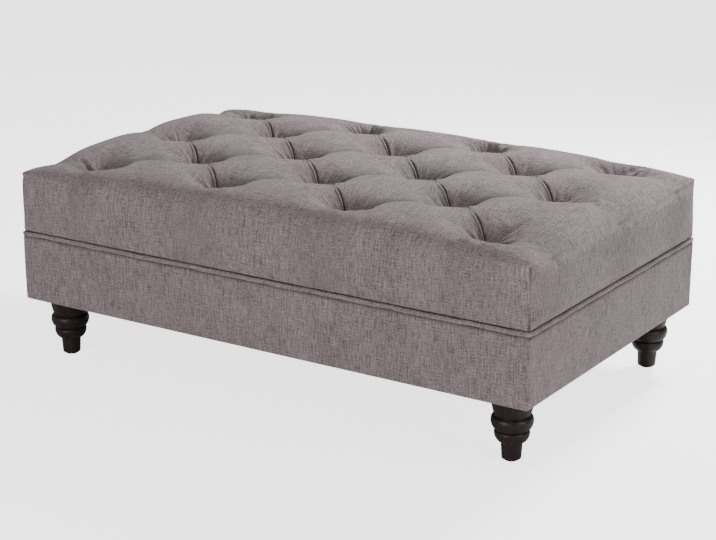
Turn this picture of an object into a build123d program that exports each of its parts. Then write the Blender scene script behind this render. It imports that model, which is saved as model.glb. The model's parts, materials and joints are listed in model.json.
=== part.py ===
"""A tufted ottoman coffee table: a deep-buttoned foam cushion on an upholstered box frame, which stands
on four turned wooden legs. X runs along the length, the front is at -Y, Z is up from the floor, and every
size is in millimetres."""

import math
import os

from build123d import *

# Overall sizes. The body is measured over its fabric faces, without the welt that stands proud of them.
body_length = 1194
body_width = 719
leg_height = 130
welt_height = 271
shoulder_height = 398
crown_rise = 42
corner_rise = 12
corner_radius = 12
edge_rounding = 3

# Clearances. Soft layers lie an ease apart, and fasteners have a fit in their holes.
ease = 0.3
fit = 0.1
overrun = 4

# Soft layers and sheets
fabric = 2
wadding = 6
welt_radius = 4.5
welt_cord_radius = 3
tail_thickness = 1.8
tail_depth = 20
strip_thickness = 1.2
strip_depth = 14
dust_sheet = 1
turn_under = 26
dust_sheet_inset = 14
side_draw = 3
draw_height = 40

# Tufting. Buttons stand in rows along the length, and every other row is shifted by half a pitch.
buttons_in_long_row = 4
button_rows = 5
end_margin = 139
side_margin = 88
seat_half = 12
button_radius = 10
button_rim = 3
button_dome = 4
twine_radius = 1
knot_radius = 3
knot_height = 3
toggle_length = 30
toggle_width = 9
toggle_height = 6
pleat_depth = 5
button_pull = 35
pad_fullness = 2.4
edge_fullness = 1.5
end_valley_share = 0.25
side_valley_share = 0.12
end_lip_share = 0.998
roundness_share = 0.01
pleat_station_shares = (0.75, 0.5, 0.25)
end_station_shares = (0, 0.5, 0.75, 0.9)
crown_length_power = 3
crown_width_power = 2

# Frame
rail_thickness = 20
deck_thickness = 12
stretcher_height = 80
stretcher_place_share = 0.75
joint_screw_shares = (0.2, 0.5, 0.8)
stretcher_screw_shares = (-0.25, 0.25)
block_screw_shares = (0.1, 0.75)
side_screw_shares = (-0.8, -0.55, 0, 0.55, 0.8)
end_screw_shares = (-0.45, 0.45)
block_side = 95
block_chamfer = 40
block_height = 40

# Fasteners
screw_radius = 2
screw_head_radius = 4
screw_head_depth = 2.5
screw_length = 50
screw_point = 5
deck_screw_length = 35
staple_crown = 11
staple_wire = 1
staple_leg = 10
staples_along_side = 8
staples_along_end = 5
bolt_radius = 4
bolt_in_leg = 42
bolt_past_nut = 4
nut_barrel_radius = 5
nut_barrel_length = 12
nut_flange_radius = 11
nut_flange = 1.5

# Turned leg: radii and heights above the floor, from the foot up to the frame
leg_inset = 63
foot_radius = 16.9
foot_rounding = 2.5
peg_top_radius = 19.5
peg_top = 30.5
low_ring_radius = 32.9
low_ring = 45.5
low_neck_radius = 30.7
low_neck = 55.3
high_ring_radius = 39.4
high_ring = 71.5
high_neck_radius = 35.4
high_neck = 84.5
cup_waist_radius = 39.4
cup_waist = 96
cup_radius = 41
cup_height = 110
glide_radius = 12.5
glide_height = 3
glide_pin_radius = 1.2
glide_pin_length = 12

# Values worked out from the sizes above
half_length = body_length / 2
half_width = body_width / 2
last_column = buttons_in_long_row - 1
last_row = (button_rows - 1) // 2
column_step = (half_length - end_margin) / last_column
row_step = (half_width - side_margin) / last_row

strip_inset = fabric + ease
tail_inset = strip_inset + strip_thickness + ease
margin_inset = tail_inset + tail_thickness + ease
frame_inset = margin_inset + fabric + ease
welt_inset = margin_inset - ease - welt_radius

sheet_top = leg_height + dust_sheet
frame_bottom = sheet_top + fabric
deck_bottom = welt_height - deck_thickness
band_top = welt_height - welt_radius - ease
flange_bottom = welt_height + welt_radius + ease
cushion_bottom = flange_bottom + fabric
tail_bottom = welt_height - tail_depth
strip_bottom = band_top - strip_depth
rail_inset = frame_inset + rail_thickness / 2
inner_inset = frame_inset + rail_thickness
block_top = sheet_top + block_height
wadding_inset = fabric + ease
foam_inset = wadding_inset + wadding + ease

corners = {"front_left": (-1, -1), "front_right": (1, -1), "back_left": (-1, 1), "back_right": (1, 1)}

os.makedirs("parts", exist_ok=True)


def save(builder, name):
    """Labels one finished sub-part and writes it to its own file."""
    builder.part.label = name
    export_step(builder.part, f"parts/{name}.step")


def outline(inset):
    """Length, width and corner radius of the body's outline, drawn in by an inset."""
    return body_length - 2 * inset, body_width - 2 * inset, corner_radius - inset


def steps(place, step, last, margin):
    """Steps of the tufting up to a place, level over each seat, and the share of the margin past them."""
    distance = abs(place)
    beyond = (distance - last * step - seat_half) / (margin - seat_half)
    if beyond >= 0:
        return last, min(beyond, 1)
    whole = min(int(distance / step), last)
    within = (distance - whole * step - seat_half) / (step - 2 * seat_half)
    return whole + min(max(within, 0), 1), 0


def pleat(turn, fullness):
    """One on a pleat line, falling to zero in the middle of a pad. A fuller pad has a narrower pleat."""
    return (2 * abs(turn - round(turn))) ** fullness


def dip(x, y):
    """Depth of the tufting under the crown: pads between diagonal pleats, deepest at the buttons, with
    valleys that run straight from the outer buttons to the edges."""
    column, past_end = steps(x, column_step, last_column, end_margin)
    row, past_side = steps(y, row_step, last_row, side_margin)
    fullness = pad_fullness - (pad_fullness - edge_fullness) * max(past_end, past_side)
    rising, falling = pleat((column + row) / 2, fullness), pleat((column - row) / 2, fullness)
    depth = pleat_depth * (rising + falling) + button_pull * rising * falling
    along_end = (1 - (1 - end_valley_share) * past_end) * (1 - past_side) ** pad_fullness
    along_side = (1 - (1 - side_valley_share) * past_side) * (1 - past_end) ** pad_fullness
    return depth * max(along_end, along_side)


def rise(x, y):
    """Height of the crown over the shoulder: full along both middle lines, and falling to each corner."""
    share = abs(x / half_length) ** crown_length_power * abs(y / half_width) ** crown_width_power
    return crown_rise - (crown_rise - corner_rise) * min(share, 1)


def top_height(x, y, inset):
    """Height of the cushion's top under an even inset. Its rounded ends stop just short of the shoulder,
    because the last section keeps a low lip."""
    reach = rise(half_length, y) - inset
    past = (abs(x) + inset - half_length + reach) / reach
    past = min(max(past, 0), end_lip_share)
    lift = math.sqrt(1 - past**2)
    return shoulder_height + (rise(x, y) - dip(x, y) - inset) * lift


def button_base(x, y):
    """Height at which a button clears the cover, which is highest on the side of its seat towards the middle."""
    inner_x, inner_y = max(abs(x) - button_radius, 0), max(abs(y) - button_radius, 0)
    return top_height(inner_x, inner_y, 0) + roundness_share * 2 * seat_half + ease


def tuft_valleys(x):
    """Places across the width where a section at x meets the seats and pleats, from front to back."""
    column, _ = steps(x, column_step, last_column, end_margin)
    turn = abs((last_column - column) % 2 - 1)
    spread = row_step - seat_half - (row_step - 2 * seat_half) * turn
    places = []
    for row in range(-last_row, last_row + 1, 2):
        places.append(row * row_step - (seat_half if row == -last_row else spread))
        places.append(row * row_step + (seat_half if row == last_row else spread))
    return places


def cushion_stations(inset):
    """Places along the length where the cushion's sections stand: close at the seats and the rounded ends."""
    pleat_run = column_step - 2 * seat_half
    places = [last_column * column_step + seat_half]
    for column in range(-last_column, last_column + 1):
        seat_start = column * column_step - seat_half
        pleat_places = [seat_start - pleat_run * share for share in pleat_station_shares]
        places += [seat_start] if column == -last_column else pleat_places + [seat_start]
        places += [seat_start + 2 * seat_half] if column < last_column else []
    reach = crown_rise - inset
    end = half_length - inset
    ends = [end - reach * (1 - share) for share in end_station_shares] + [end - side_draw / 2, end]
    ends.insert(0, (places[0] + ends[0]) / 2)
    return sorted(places + ends + [-place for place in ends])


def cushion_body(inset, low):
    """The tufted cushion as a solid, drawn in by an inset all over and standing on the height low."""
    bend = math.sqrt(1 / 2)
    with BuildPart() as body:
        for x in cushion_stations(inset):
            corner = corner_radius - inset
            turned = min(max((abs(x) + inset - half_length + corner) / corner, 0), 1)
            side = half_width - inset - corner * (1 - math.sqrt(1 - turned**2))
            drawn_side = side - side_draw
            at_end = math.isclose(abs(x), half_length - inset)
            foot = cushion_bottom + draw_height if at_end else low
            belly = (foot + shoulder_height) / 2
            reach = rise(x, half_width) - inset
            rim = side - reach
            places = [-rim] + tuft_valleys(x) + [rim]
            rim_height = top_height(x, rim, inset)
            bend_height = shoulder_height + (rim_height - shoulder_height) * bend
            bend_place = drawn_side - (drawn_side - rim) * (1 - bend)
            with BuildSketch(Plane.YZ.offset(x)):
                with BuildLine():
                    ThreePointArc((-drawn_side, foot), (-side, belly), (-drawn_side, shoulder_height))
                    ThreePointArc(
                        (-drawn_side, shoulder_height), (-bend_place, bend_height), (-rim, rim_height)
                    )
                    for start, stop in zip(places, places[1:]):
                        middle = (start + stop) / 2
                        ThreePointArc(
                            (start, top_height(x, start, inset)),
                            (middle, top_height(x, middle, inset) + roundness_share * (stop - start)),
                            (stop, top_height(x, stop, inset)),
                        )
                    ThreePointArc((rim, rim_height), (bend_place, bend_height), (drawn_side, shoulder_height))
                    ThreePointArc((drawn_side, shoulder_height), (side, belly), (drawn_side, foot))
                    Line((drawn_side, foot), (-drawn_side, foot))
                make_face()
        loft(ruled=True)
    return body.part


# Every button's place in the staggered pattern
button_places = [
    (column * column_step, row * row_step)
    for row in range(-last_row, last_row + 1)
    for column in range(-last_column, last_column + 1)
    if (column + row - last_column - last_row) % 2 == 0
]
button_bases = {place: button_base(*place) for place in button_places}

# The cushion's three soft layers: the sewn cover, the wadding under it and the foam core
cover_outside = cushion_body(0, cushion_bottom)
cover_inside = cushion_body(fabric, cushion_bottom - overrun)
wadding_outside = cushion_body(wadding_inset, cushion_bottom + ease)
wadding_inside = cushion_body(wadding_inset + wadding, cushion_bottom + ease - overrun)

with BuildPart() as top_cover:
    add(cover_outside)
    add(cover_inside, mode=Mode.SUBTRACT)
    with BuildSketch(Plane.XY.offset(flange_bottom)):
        RectangleRounded(*outline(fabric))
        RectangleRounded(*outline(margin_inset + fabric), mode=Mode.SUBTRACT)
    extrude(amount=fabric)
    with BuildSketch(Plane.XY.offset(tail_bottom)):
        RectangleRounded(*outline(margin_inset))
        RectangleRounded(*outline(margin_inset + fabric), mode=Mode.SUBTRACT)
    extrude(amount=cushion_bottom - tail_bottom)
    with BuildSketch(Plane.XY.offset(cushion_bottom)):
        with Locations(*button_places):
            Circle(twine_radius + fit)
    extrude(amount=shoulder_height + crown_rise - cushion_bottom, mode=Mode.SUBTRACT)
save(top_cover, "top_cover")

with BuildPart() as wadding_layer:
    add(wadding_outside)
    add(wadding_inside, mode=Mode.SUBTRACT)
    with BuildSketch(Plane.XY.offset(cushion_bottom)):
        with Locations(*button_places):
            Circle(twine_radius + fit)
    extrude(amount=shoulder_height + crown_rise - cushion_bottom, mode=Mode.SUBTRACT)
save(wadding_layer, "wadding_layer")

foam_body = cushion_body(foam_inset, welt_height)
with BuildPart() as foam_core:
    add(foam_body)
    with BuildSketch(Plane.XY.offset(welt_height)):
        with Locations(*button_places):
            Circle(twine_radius + fit)
    extrude(amount=shoulder_height + crown_rise - welt_height, mode=Mode.SUBTRACT)
save(foam_core, "foam_core")

# Fabric-covered buttons: a flat rim under a shallow dome, which is part of a ball
dome_ball = (button_radius**2 + button_dome**2) / (2 * button_dome)
with BuildPart() as button:
    with BuildSketch(Plane.XZ):
        with BuildLine():
            Polyline((button_radius, button_rim), (button_radius, 0), (0, 0), (0, button_rim + button_dome))
            RadiusArc((0, button_rim + button_dome), (button_radius, button_rim), dome_ball)
        make_face()
    revolve(axis=Axis.Z)

with BuildPart() as tuft_buttons:
    for (x, y), base in button_bases.items():
        with Locations((x, y, base)):
            add(button.part)
save(tuft_buttons, "tuft_buttons")

# Toggles under the deck, which the twines are pulled tight against
toggle_bottom = deck_bottom - toggle_height
with BuildPart() as twine_toggles:
    with BuildSketch(Plane.XY.offset(toggle_bottom)):
        with Locations(*button_places):
            SlotOverall(toggle_length, toggle_width)
            Circle(twine_radius + fit, mode=Mode.SUBTRACT)
    extrude(amount=toggle_height)
save(twine_toggles, "twine_toggles")

standing = (Align.CENTER, Align.CENTER, Align.MIN)
with BuildPart() as tuft_twines:
    for (x, y), base in button_bases.items():
        with Locations((x, y, toggle_bottom - knot_height)):
            Cylinder(knot_radius, knot_height, align=standing)
            Cylinder(twine_radius, base - toggle_bottom + knot_height, align=standing)
save(tuft_twines, "tuft_twines")

# Welt: a filler cord inside a fabric tube, whose flat tail is caught between the covers
welt_length, welt_width, welt_corner = outline(welt_inset)
with BuildSketch(Plane.XY.offset(welt_height)) as welt_plan:
    RectangleRounded(welt_length, welt_width, welt_corner)
welt_path = welt_plan.sketch.face().outer_wire()

with BuildPart() as welt_cord:
    with BuildSketch(Plane(welt_path @ 0, z_dir=welt_path % 0)):
        Circle(welt_cord_radius)
    sweep(path=welt_path)
save(welt_cord, "welt_cord")

with BuildPart() as welt_cover:
    with BuildSketch(Plane.XY.offset(tail_bottom)):
        RectangleRounded(*outline(tail_inset))
        RectangleRounded(*outline(tail_inset + tail_thickness), mode=Mode.SUBTRACT)
    extrude(amount=tail_depth)
    with BuildSketch(Plane(welt_path @ 0, z_dir=welt_path % 0)):
        Circle(welt_radius)
    sweep(path=welt_path)
    with BuildSketch(Plane(welt_path @ 0, z_dir=welt_path % 0)):
        Circle(welt_cord_radius + fit)
    sweep(path=welt_path, mode=Mode.SUBTRACT)
save(welt_cover, "welt_cover")

# Band around the frame: one fabric panel to each side, mitred at the corner seams and turned under the rails
seam_reach = turn_under + corner_radius
band_sides = {"front_band": (0, -1), "back_band": (0, 1), "left_band": (-1, 0), "right_band": (1, 0)}
staple_inset = (dust_sheet_inset + turn_under) / 2
staple_line = half_length - leg_inset - cup_radius - staple_crown
end_staple_line = half_width - leg_inset - cup_radius - staple_crown
staple_places = [
    (staple_line * (2 * index / (staples_along_side - 1) - 1), side * (half_width - staple_inset), 0)
    for side in (-1, 1)
    for index in range(staples_along_side)
] + [
    (side * (half_length - staple_inset), end_staple_line * (2 * index / (staples_along_end - 1) - 1), 90)
    for side in (-1, 1)
    for index in range(staples_along_end)
]


def staple_legs(wire):
    """Both legs of every staple, as square bars of the given thickness that stand up from the dust sheet."""
    with BuildPart() as legs:
        with BuildSketch(Plane.XY.offset(leg_height)):
            for x, y, turn in staple_places:
                with Locations(Location((x, y), turn)):
                    with GridLocations(staple_crown - staple_wire, 0, 2, 1):
                        Rectangle(wire, wire)
        extrude(amount=staple_leg + wire - staple_wire)
    return legs.part


staple_slots = staple_legs(staple_wire + 2 * fit)

with BuildPart() as dust_sheet_staples:
    add(staple_legs(staple_wire))
    with BuildSketch(Plane.XY.offset(leg_height)):
        for x, y, turn in staple_places:
            with Locations(Location((x, y), turn)):
                Rectangle(staple_crown, staple_wire)
    extrude(amount=-staple_wire)
save(dust_sheet_staples, "dust_sheet_staples")

for name, (along, across) in band_sides.items():
    reach_x, reach_y = half_length - seam_reach, half_width - seam_reach
    if across:
        region = [(-half_length, across * half_width), (half_length, across * half_width)]
        region += [(reach_x, across * reach_y), (-reach_x, across * reach_y)]
    else:
        region = [(along * half_length, -half_width), (along * half_length, half_width)]
        region += [(along * reach_x, reach_y), (along * reach_x, -reach_y)]
    with BuildPart() as band:
        with BuildSketch(Plane.XY.offset(sheet_top)):
            RectangleRounded(*outline(0))
            Rectangle(body_length - 2 * turn_under, body_width - 2 * turn_under, mode=Mode.SUBTRACT)
            Polygon(*region, align=None, mode=Mode.INTERSECT)
        extrude(amount=fabric)
        with BuildSketch(Plane.XY.offset(sheet_top)):
            RectangleRounded(*outline(0))
            RectangleRounded(*outline(fabric), mode=Mode.SUBTRACT)
            Polygon(*region, align=None, mode=Mode.INTERSECT)
        extrude(amount=band_top - sheet_top)
        low_edges = edges().group_by(Axis.Z)[0]
        outward = low_edges.sort_by(Axis((0, 0, 0), (along, across, 0)))[-1]
        fillet([outward] + low_edges.filter_by(GeomType.CIRCLE), edge_rounding)
        add(staple_slots, mode=Mode.SUBTRACT)
    save(band, name)

with BuildPart() as band_wadding:
    with BuildSketch(Plane.XY.offset(frame_bottom)):
        RectangleRounded(*outline(strip_inset))
        RectangleRounded(*outline(frame_inset - ease), mode=Mode.SUBTRACT)
    extrude(amount=tail_bottom - ease - frame_bottom)
save(band_wadding, "band_wadding")

with BuildPart() as tack_strip:
    with BuildSketch(Plane.XY.offset(strip_bottom)):
        RectangleRounded(*outline(strip_inset))
        RectangleRounded(*outline(strip_inset + strip_thickness), mode=Mode.SUBTRACT)
    extrude(amount=strip_depth)
save(tack_strip, "tack_strip")

leg_places = {
    name: (along * (half_length - leg_inset), across * (half_width - leg_inset))
    for name, (along, across) in corners.items()
}

with BuildPart() as dust_sheet_part:
    with BuildSketch(Plane.XY.offset(leg_height)):
        Rectangle(body_length - 2 * dust_sheet_inset, body_width - 2 * dust_sheet_inset)
        with Locations(*leg_places.values()):
            Circle(nut_barrel_radius + fit, mode=Mode.SUBTRACT)
    extrude(amount=dust_sheet)
    add(staple_slots, mode=Mode.SUBTRACT)
save(dust_sheet_part, "dust_sheet")


# Screws: each group's places are planes on the wood's face, and a screw points down from its plane
def screw_body(length, grow):
    """A countersunk screw, or the hole that it needs if it is grown by a fit."""
    with BuildPart() as body:
        with BuildSketch(Plane.XZ):
            Polygon(
                (0, 0),
                (screw_head_radius + grow, 0),
                (screw_radius + grow, -screw_head_depth),
                (screw_radius + grow, screw_point - length),
                (0, -length - grow),
                align=None,
            )
        revolve(axis=Axis.Z)
    return body.part


rail_height = deck_bottom - frame_bottom
stretcher_place = stretcher_place_share * 2 * column_step
stretcher_middle = deck_bottom - stretcher_height / 2
block_middle = sheet_top + block_height / 2
face_y = half_width - frame_inset
face_x = half_length - frame_inset
joint_x = half_length - max(rail_inset, corner_radius + screw_head_radius + fit)
block_screw_insets = [inner_inset + share * block_side for share in block_screw_shares]

frame_screw_planes = [
    Plane(origin=(end * joint_x, side * face_y, frame_bottom + share * rail_height), z_dir=(0, side, 0))
    for end in (-1, 1)
    for side in (-1, 1)
    for share in joint_screw_shares
] + [
    Plane(
        origin=(end * stretcher_place, side * face_y, stretcher_middle + share * stretcher_height),
        z_dir=(0, side, 0),
    )
    for end in (-1, 1)
    for side in (-1, 1)
    for share in stretcher_screw_shares
]
block_screw_planes = [
    Plane(
        origin=(end * (half_length - inset), side * face_y, block_middle + screw_head_radius),
        z_dir=(0, side, 0),
    )
    for end, side in corners.values()
    for inset in block_screw_insets
] + [
    Plane(
        origin=(end * face_x, side * (half_width - inset), block_middle - screw_head_radius),
        z_dir=(end, 0, 0),
    )
    for end, side in corners.values()
    for inset in block_screw_insets
]
deck_top = deck_bottom + deck_thickness
deck_screw_planes = [
    Plane(origin=(share * half_length, side * (half_width - rail_inset), deck_top))
    for side in (-1, 1)
    for share in side_screw_shares
] + [
    Plane(origin=(place, share * half_width, deck_top))
    for place in (rail_inset - half_length, -stretcher_place, stretcher_place, half_length - rail_inset)
    for share in end_screw_shares
]

screw_groups = {
    "frame_screws": (frame_screw_planes, screw_length),
    "block_screws": (block_screw_planes, screw_length),
    "deck_screws": (deck_screw_planes, deck_screw_length),
}
for name, (planes, length) in screw_groups.items():
    screw = screw_body(length, 0)
    with BuildPart() as screws:
        with Locations(*planes):
            add(screw)
    save(screws, name)

long_hole = screw_body(screw_length, fit)
deck_hole = screw_body(deck_screw_length, fit)


# Box frame: the long rails at the front and back run past the ends of the end rails
for name, side in {"front_rail": -1, "back_rail": 1}.items():
    with BuildPart() as rail:
        with BuildSketch(Plane.XY.offset(frame_bottom)):
            RectangleRounded(*outline(frame_inset))
            with Locations((0, side * (half_width - rail_inset))):
                Rectangle(body_length, rail_thickness, mode=Mode.INTERSECT)
        extrude(amount=rail_height)
        with Locations(*frame_screw_planes, *block_screw_planes):
            add(long_hole, mode=Mode.SUBTRACT)
        with Locations(*deck_screw_planes):
            add(deck_hole, mode=Mode.SUBTRACT)
        add(staple_slots, mode=Mode.SUBTRACT)
    save(rail, name)

for name, end in {"left_end_rail": -1, "right_end_rail": 1}.items():
    with BuildPart() as end_rail:
        with BuildSketch(Plane.XY.offset(frame_bottom)):
            with Locations((end * (half_length - rail_inset), 0)):
                Rectangle(rail_thickness, body_width - 2 * inner_inset)
        extrude(amount=rail_height)
        with Locations(*frame_screw_planes, *block_screw_planes):
            add(long_hole, mode=Mode.SUBTRACT)
        with Locations(*deck_screw_planes):
            add(deck_hole, mode=Mode.SUBTRACT)
        add(staple_slots, mode=Mode.SUBTRACT)
    save(end_rail, name)

for name, end in {"left_stretcher": -1, "right_stretcher": 1}.items():
    with BuildPart() as stretcher:
        with BuildSketch(Plane.XY.offset(deck_bottom - stretcher_height)):
            with Locations((end * stretcher_place, 0)):
                Rectangle(rail_thickness, body_width - 2 * inner_inset)
        extrude(amount=stretcher_height)
        with Locations(*frame_screw_planes):
            add(long_hole, mode=Mode.SUBTRACT)
        with Locations(*deck_screw_planes):
            add(deck_hole, mode=Mode.SUBTRACT)
    save(stretcher, name)

with BuildPart() as deck:
    with BuildSketch(Plane.XY.offset(deck_bottom)):
        RectangleRounded(*outline(frame_inset))
        with Locations(*button_places):
            Circle(twine_radius + fit, mode=Mode.SUBTRACT)
    extrude(amount=deck_thickness)
    with Locations(*deck_screw_planes):
        add(deck_hole, mode=Mode.SUBTRACT)
save(deck, "deck_panel")

# Each corner has its block, tee nut, hanger bolt, leg and glide
for name, (end, side) in corners.items():
    block_place = (
        end * (half_length - inner_inset - block_side / 2),
        side * (half_width - inner_inset - block_side / 2),
    )
    with BuildPart() as corner_block:
        with BuildSketch(Plane.XY.offset(sheet_top)):
            with Locations(block_place):
                Rectangle(block_side, block_side)
            chamfer(vertices().sort_by_distance((0, 0, 0))[0], block_chamfer)
            with Locations(leg_places[name]):
                Circle(nut_barrel_radius + fit, mode=Mode.SUBTRACT)
        extrude(amount=block_height)
        with Locations(*block_screw_planes):
            add(long_hole, mode=Mode.SUBTRACT)
    save(corner_block, f"{name}_corner_block")

with BuildPart() as tee_nuts:
    with BuildSketch(Plane.XY.offset(block_top)):
        with Locations(*leg_places.values()):
            Circle(nut_flange_radius)
    extrude(amount=nut_flange)
    with BuildSketch(Plane.XY.offset(block_top)):
        with Locations(*leg_places.values()):
            Circle(nut_barrel_radius)
    extrude(amount=-nut_barrel_length)
    with BuildSketch(Plane.XY.offset(block_top - nut_barrel_length)):
        with Locations(*leg_places.values()):
            Circle(bolt_radius + fit)
    extrude(amount=nut_barrel_length + nut_flange, mode=Mode.SUBTRACT)
save(tee_nuts, "tee_nuts")

with BuildPart() as hanger_bolts:
    with BuildSketch(Plane.XY.offset(leg_height - bolt_in_leg)):
        with Locations(*leg_places.values()):
            Circle(bolt_radius)
    extrude(amount=bolt_in_leg + dust_sheet + block_height + nut_flange + bolt_past_nut)
save(hanger_bolts, "hanger_bolts")

foot_bend = foot_rounding * (1 - math.sqrt(1 / 2))
bead_points = [
    (peg_top_radius, peg_top),
    (low_ring_radius, low_ring),
    (low_neck_radius, low_neck),
    (high_ring_radius, high_ring),
    (high_neck_radius, high_neck),
    (cup_waist_radius, cup_waist),
    (cup_radius, cup_height),
]
with BuildPart() as leg:
    with BuildSketch(Plane.XZ):
        with BuildLine():
            Line((0, leg_height), (0, glide_height))
            Line((0, glide_height), (foot_radius - foot_rounding, glide_height))
            ThreePointArc(
                (foot_radius - foot_rounding, glide_height),
                (foot_radius - foot_bend, glide_height + foot_bend),
                (foot_radius, glide_height + foot_rounding),
            )
            Line((foot_radius, glide_height + foot_rounding), bead_points[0])
            for lower, bulge, upper in zip(bead_points[::2], bead_points[1::2], bead_points[2::2]):
                ThreePointArc(lower, bulge, upper)
            Line((cup_radius, cup_height), (cup_radius, leg_height))
            Line((cup_radius, leg_height), (0, leg_height))
        make_face()
    revolve(axis=Axis.Z)
    with Locations((0, 0, leg_height)):
        Hole(bolt_radius + fit, bolt_in_leg)
    with BuildSketch(Plane.XY.offset(glide_height)):
        Circle(glide_pin_radius + fit)
    extrude(amount=glide_pin_length, mode=Mode.SUBTRACT)

for name, place in leg_places.items():
    with BuildPart() as placed_leg:
        with Locations(place):
            add(leg.part)
    save(placed_leg, f"{name}_leg")

with BuildPart() as glides:
    with BuildSketch():
        with Locations(*leg_places.values()):
            Circle(glide_radius)
    extrude(amount=glide_height)
    with BuildSketch(Plane.XY.offset(glide_height)):
        with Locations(*leg_places.values()):
            Circle(glide_pin_radius)
    extrude(amount=glide_pin_length)
save(glides, "glides")
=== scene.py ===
# %% [markdown]
# # A deep-buttoned ottoman coffee table
# The table is a thick tufted cushion on an upholstered box, with a piped seam between the two and four
# turned legs under the box. The frame that is loaded first holds every piece at its real place and size, in
# metres, with the floor at zero height. The pieces below are the soft and turned surfaces that dress it.

# %% Load the frame
import json

import bpy
import numpy as np
from mathutils import Matrix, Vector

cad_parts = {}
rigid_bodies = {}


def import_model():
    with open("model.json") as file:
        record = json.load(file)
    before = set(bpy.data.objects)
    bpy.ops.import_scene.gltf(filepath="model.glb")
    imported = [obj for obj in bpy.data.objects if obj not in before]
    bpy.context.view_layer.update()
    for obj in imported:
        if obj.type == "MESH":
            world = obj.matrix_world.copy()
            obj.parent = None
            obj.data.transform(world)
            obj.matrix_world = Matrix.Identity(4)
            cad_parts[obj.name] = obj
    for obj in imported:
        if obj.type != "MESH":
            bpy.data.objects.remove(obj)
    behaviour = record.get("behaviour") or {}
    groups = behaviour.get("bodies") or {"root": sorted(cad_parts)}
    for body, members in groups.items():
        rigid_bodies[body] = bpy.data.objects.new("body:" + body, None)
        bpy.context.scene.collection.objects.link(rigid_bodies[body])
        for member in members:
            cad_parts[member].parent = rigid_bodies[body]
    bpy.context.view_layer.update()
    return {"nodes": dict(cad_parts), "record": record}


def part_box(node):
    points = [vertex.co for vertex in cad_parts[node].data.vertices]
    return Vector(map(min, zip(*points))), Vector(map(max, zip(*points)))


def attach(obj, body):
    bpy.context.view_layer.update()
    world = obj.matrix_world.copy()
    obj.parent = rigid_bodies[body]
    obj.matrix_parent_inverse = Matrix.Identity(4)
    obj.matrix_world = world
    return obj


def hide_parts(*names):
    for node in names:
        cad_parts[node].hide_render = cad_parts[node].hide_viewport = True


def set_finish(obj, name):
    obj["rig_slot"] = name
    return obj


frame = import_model()
print("pieces in the frame", len(frame["nodes"]))

# %% [markdown]
# ## Surfaces from arrays
# Every new piece starts as an array of points and an array of corner numbers. A grid of points could be
# built vertex by vertex with bmesh, but whole arrays are faster and keep the shape's formula in sight. One
# helper numbers the faces of any grid, one turns a pair of arrays into an object, and one stores values on
# its points for the materials to read.


# %% Helpers for meshes
def grid_faces(rows, columns, around=False, closed=False):
    """Corner numbers of the quads between the rows and columns of a grid of points, numbered row by row.
    With around, the last column joins the first, and with closed, the last row does."""
    row_numbers, column_numbers = np.arange(rows - (not closed)), np.arange(columns - (not around))
    row, column = np.meshgrid(row_numbers, column_numbers, indexing="ij")
    onward, after = (row + 1) % rows, (column + 1) % columns
    corners = [(row, column), (row, after), (onward, after), (onward, column)]
    return np.stack([line * columns + place for line, place in corners], axis=-1).reshape(-1, 4)


def add_piece(name, points, faces, slot, uv=None):
    """Makes an object from points and faces, smooth, riding on the frame, with a finish from a slot. The uv
    array holds one pair per point, or one per corner of each face in turn, in metres of cloth."""
    mesh = bpy.data.meshes.new(name)
    mesh.from_pydata(np.asarray(points, float).reshape(-1, 3).tolist(), [], [list(face) for face in faces])
    mesh.update()
    mesh.shade_smooth()
    if uv is not None:
        uv = np.asarray(uv, np.float32).reshape(-1, 2)
        if len(uv) == len(mesh.vertices):
            corner_points = np.empty(len(mesh.loops), int)
            mesh.loops.foreach_get("vertex_index", corner_points)
            uv = uv[corner_points]
        mesh.uv_layers.new(name="cloth").uv.foreach_set("vector", uv.ravel())
    piece = bpy.data.objects.new(name, mesh)
    bpy.context.scene.collection.objects.link(piece)
    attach(piece, "root")
    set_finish(piece, slot)
    print(name, len(mesh.vertices), "points", len(mesh.polygons), "faces")
    return piece


def add_values(piece, name, values):
    """Stores one number for every point of a piece, or three, which a material can read by the name."""
    values = np.asarray(values, np.float32)
    kind, field = ("FLOAT_VECTOR", "vector") if values.ndim == 2 else ("FLOAT", "value")
    if values.ndim < 2:
        values = np.broadcast_to(values, len(piece.data.vertices))
    piece.data.attributes.new(name, kind, "POINT").data.foreach_set(field, values.ravel())


# %% [markdown]
# ## Camera, floor and light
# The camera stands where the photograph was taken, worked out from the seam's corners and the feet. A long
# lens from over three metres keeps the table's edges nearly parallel. The floor is one pale plane, which
# glows for the camera's rays alone, so it looks like white paper in a bright studio and doesn't light the
# table. Three soft lamps do: the one on the right makes the end lighter than the front, and the one behind
# shades the near side of every pad.

# %% Camera
camera_place, camera_lens = (2.022, -3.108, 1.354), 93.4
camera_turn, camera_tip = np.radians(32.99), np.radians(17.33)

camera_data = bpy.data.cameras.new("camera")
camera_data.lens = camera_lens
camera = bpy.data.objects.new("camera", camera_data)
camera.location = camera_place
camera.rotation_euler = (np.pi / 2 - camera_tip, 0, camera_turn)
bpy.context.scene.collection.objects.link(camera)
bpy.context.scene.camera = camera


# %% Helpers for shader nodes
def feed(node, sources):
    """Sets inputs of a node, each by its name or number, to a value or to the output that feeds it."""
    for socket, source in dict(sources).items():
        if isinstance(source, bpy.types.NodeSocket):
            node.id_data.links.new(source, node.inputs[socket])
        else:
            node.inputs[socket].default_value = source


def add_node(tree, kind, sources=(), **settings):
    """Adds a node of a kind, sets its settings and feeds its inputs."""
    node = tree.nodes.new(kind)
    for name, value in settings.items():
        setattr(node, name, value)
    feed(node, sources)
    return node


def math(tree, operation, *values):
    """A sum, product or other step on one to three numbers, given as values or outputs."""
    return add_node(tree, "ShaderNodeMath", enumerate(values), operation=operation).outputs[0]


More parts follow.
